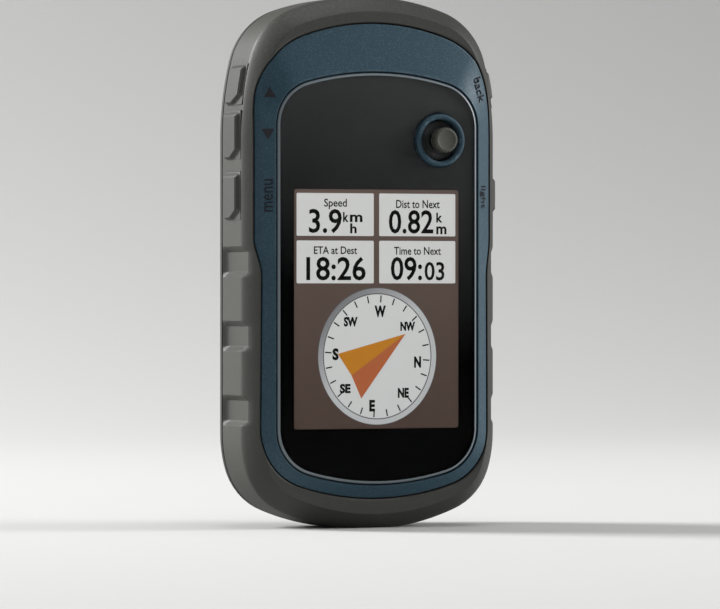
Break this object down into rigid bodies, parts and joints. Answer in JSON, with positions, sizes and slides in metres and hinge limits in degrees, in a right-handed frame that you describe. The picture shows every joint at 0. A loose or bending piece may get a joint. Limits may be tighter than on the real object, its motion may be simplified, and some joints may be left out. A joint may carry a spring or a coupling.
{
  "type": "handheld gps unit",
  "caption": "Handheld GPS navigator with an upright colour display, thumb stick, side keys, notched grips, rear battery cover with a folding ring latch and a port cap.",
  "frame": {"origin": "middle of the lower end, on the surface the unit stands on", "axes": "+Z along the long axis towards the top, -Y out of the display, +X to the right of someone facing the display"},
  "size_m": [0.055, 0.033, 0.1026],
  "materials": {
    "housing": "fine moulded texture, warm grey",
    "rear": "fine moulded texture, dark grey",
    "face": "satin slate blue with metallic fleck",
    "window": "polished, dark printed border",
    "key": "satin moulded key",
    "rubber": "soft black rubber",
    "stick": "dark grey elastomer",
    "panel": "display glass with a lit page",
    "tray": "white diffuse",
    "board": "green solder mask",
    "flex": "amber film",
    "steel": "bright zinc plated",
    "ceramic": "fired, with a silver patch",
    "nickel": "tinned sheet",
    "cell": "printed sleeve with bare ends",
    "inner": "black engineering plastic"
  },
  "bodies": {
    "casing": {"front_housing": "housing", "rear_housing": "rear", "face_plate": "face", "display_window": "window", "window_seal": "rubber", "display_panel": "panel", "backlight_tray": "tray", "display_flex": "flex", "stick_collar": "face", "stick_boot": "rubber", "stick_switch": "inner", "main_board": "board", "processor_shield": "nickel", "radio_shield": "nickel", "gps_antenna": "ceramic", "buzzer": "inner", "io_board": "board", "board_link": "inner", "usb_port": "nickel", "card_slot": "nickel", "case_seal": "rubber", "cover_seal": "rubber", "battery_left": "cell", "battery_right": "cell", "battery_spring_left": "steel", "battery_spring_right": "steel", "contact_left": "nickel", "contact_right": "nickel", "contact_bridge": "nickel", "zoom_in_switch": "inner", "zoom_out_switch": "inner", "menu_switch": "inner", "back_switch": "inner", "light_switch": "inner", "case_screw_top_left": "steel", "case_screw_top_right": "steel", "case_screw_bottom_left": "steel", "case_screw_bottom_right": "steel", "board_screw_bottom": "steel", "board_screw_left": "steel", "board_screw_right": "steel"},
    "zoom_in_button": {"zoom_in_key": "key"},
    "zoom_out_button": {"zoom_out_key": "key"},
    "menu_button": {"menu_key": "key"},
    "back_button": {"back_key": "key"},
    "light_button": {"light_key": "key"},
    "stick_ring": {"stick_gimbal": "steel"},
    "stick_cradle": {"stick_rocker": "inner"},
    "stick": {"stick_shaft": "nickel", "stick_cap": "stick"},
    "cover": {"battery_cover": "rear", "mounting_spine": "rear", "spine_screw_bottom": "steel", "spine_screw_top": "steel"},
    "latch": {"latch_disc": "inner", "latch_tongue": "steel", "latch_retainer": "steel"},
    "ring": {"d_ring": "steel"},
    "port_cap": {"weather_cap": "rubber"}
  },
  "joints": [
    {"name": "zoom_in_press", "type": "slide", "parent": "casing", "child": "zoom_in_button", "axis": [0.9804, 0, -0.197], "range_m": [0, 0.0004], "stiffness_N_per_m": 3000},
    {"name": "zoom_out_press", "type": "slide", "parent": "casing", "child": "zoom_out_button", "axis": [1, 0, 0], "range_m": [0, 0.0004], "stiffness_N_per_m": 3000},
    {"name": "menu_press", "type": "slide", "parent": "casing", "child": "menu_button", "axis": [1, 0, 0], "range_m": [0, 0.0004], "stiffness_N_per_m": 3000},
    {"name": "back_press", "type": "slide", "parent": "casing", "child": "back_button", "axis": [-0.9804, 0, -0.197], "range_m": [0, 0.0004], "stiffness_N_per_m": 3000},
    {"name": "light_press", "type": "slide", "parent": "casing", "child": "light_button", "axis": [-1, 0, 0], "range_m": [0, 0.0004], "stiffness_N_per_m": 3000},
    {"name": "stick_up_down", "type": "hinge", "parent": "casing", "child": "stick_ring", "pos_m": [0.013, -0.0076, 0.0748], "axis": [1, 0, 0], "range_deg": [-5, 5], "stiffness_Nm_per_rad": 0.08},
    {"name": "stick_left_right", "type": "hinge", "parent": "stick_ring", "child": "stick_cradle", "pos_m": [0.013, -0.0076, 0.0748], "axis": [0, 0, 1], "range_deg": [-5, 5], "stiffness_Nm_per_rad": 0.08},
    {"name": "stick_press", "type": "slide", "parent": "stick_cradle", "child": "stick", "axis": [0, 1, 0], "range_m": [0, 0.0003], "stiffness_N_per_m": 4000},
    {"name": "cover_swing", "type": "hinge", "parent": "casing", "child": "cover", "pos_m": [0, 0.0134, 0.0768], "axis": [1, 0, 0], "range_deg": [0, 35]},
    {"name": "latch_turn", "type": "hinge", "parent": "cover", "child": "latch", "pos_m": [0, 0.0145, 0.02], "axis": [0, 1, 0], "range_deg": [0, 90]},
    {"name": "ring_fold", "type": "hinge", "parent": "latch", "child": "ring", "pos_m": [0, 0.0159, 0.02], "axis": [1, 0, 0], "range_deg": [0, 90]},
    {"name": "port_cap_fold", "type": "hinge", "parent": "casing", "child": "port_cap", "pos_m": [0, 0.014, 0.0932], "axis": [1, 0, 0], "range_deg": [0, 100]}
  ]
}
